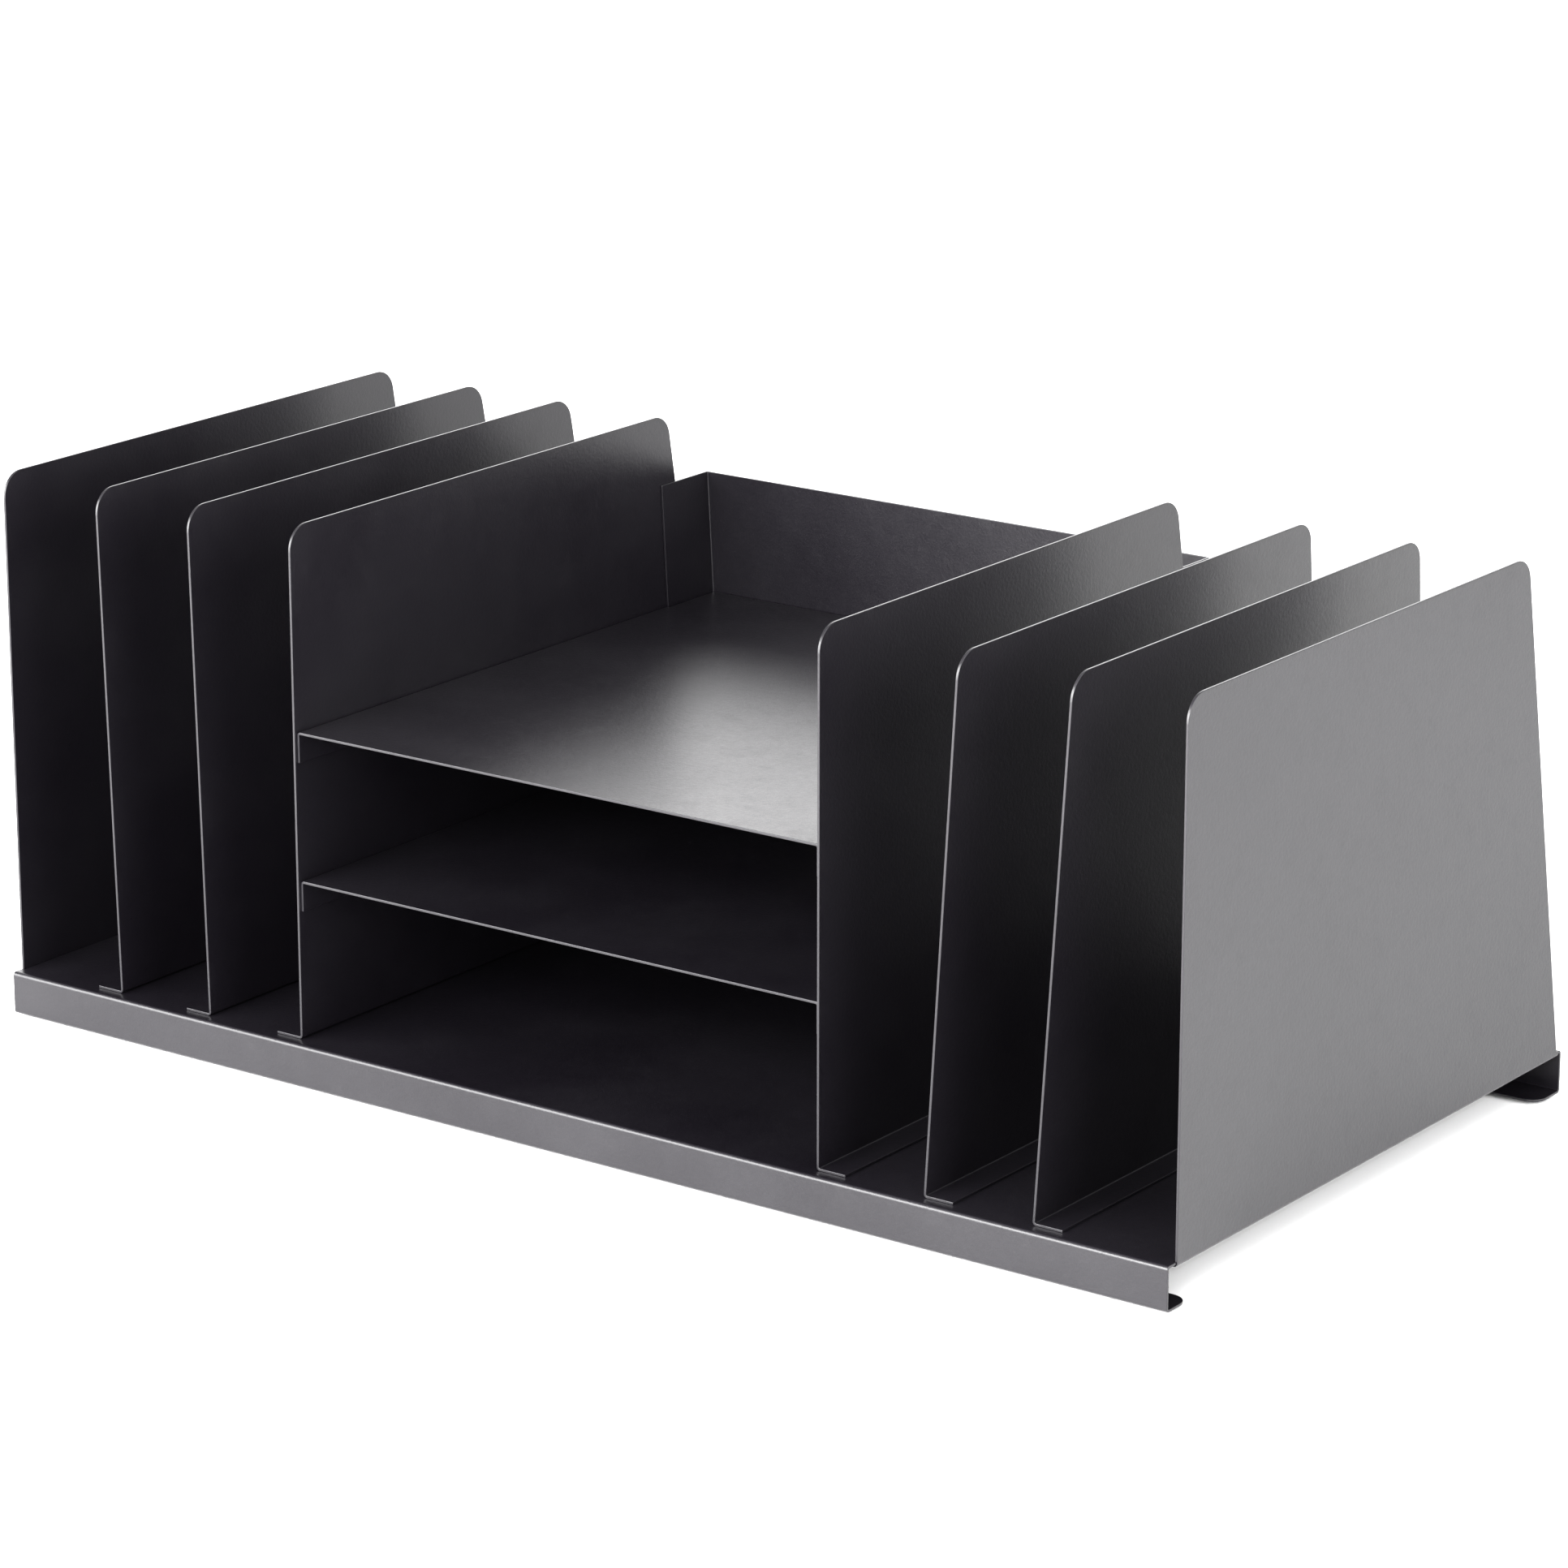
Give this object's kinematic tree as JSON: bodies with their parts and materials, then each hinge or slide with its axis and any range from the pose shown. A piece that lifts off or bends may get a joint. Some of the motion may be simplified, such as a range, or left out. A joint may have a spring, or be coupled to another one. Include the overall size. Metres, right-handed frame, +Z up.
{
  "type": "desktop file sorter",
  "caption": "Black steel desktop file sorter: upright slots on both sides of a centre bay with flat shelves, on a low folded tray.",
  "frame": {"origin": "middle of the bounding box in plan, on the surface that the sorter stands on", "axes": "+X to the sorter's right seen from the front, +Y to the back, +Z up"},
  "size_m": [0.5342, 0.275, 0.2172],
  "materials": {
    "black_powder_coat": "satin black powder coat on steel sheet",
    "foot_rubber": "matt black rubber"
  },
  "bodies": {
    "root": {"base_tray": "black_powder_coat", "end_panel_left": "black_powder_coat", "end_panel_right": "black_powder_coat", "divider_left_outer": "black_powder_coat", "divider_left_inner": "black_powder_coat", "bay_wall_left": "black_powder_coat", "bay_wall_right": "black_powder_coat", "divider_right_inner": "black_powder_coat", "divider_right_outer": "black_powder_coat", "back_panel": "black_powder_coat", "shelf_lower": "black_powder_coat", "shelf_upper": "black_powder_coat", "foot_front_left": "foot_rubber", "foot_front_right": "foot_rubber", "foot_rear_left": "foot_rubber", "foot_rear_right": "foot_rubber"}
  },
  "joints": []
}
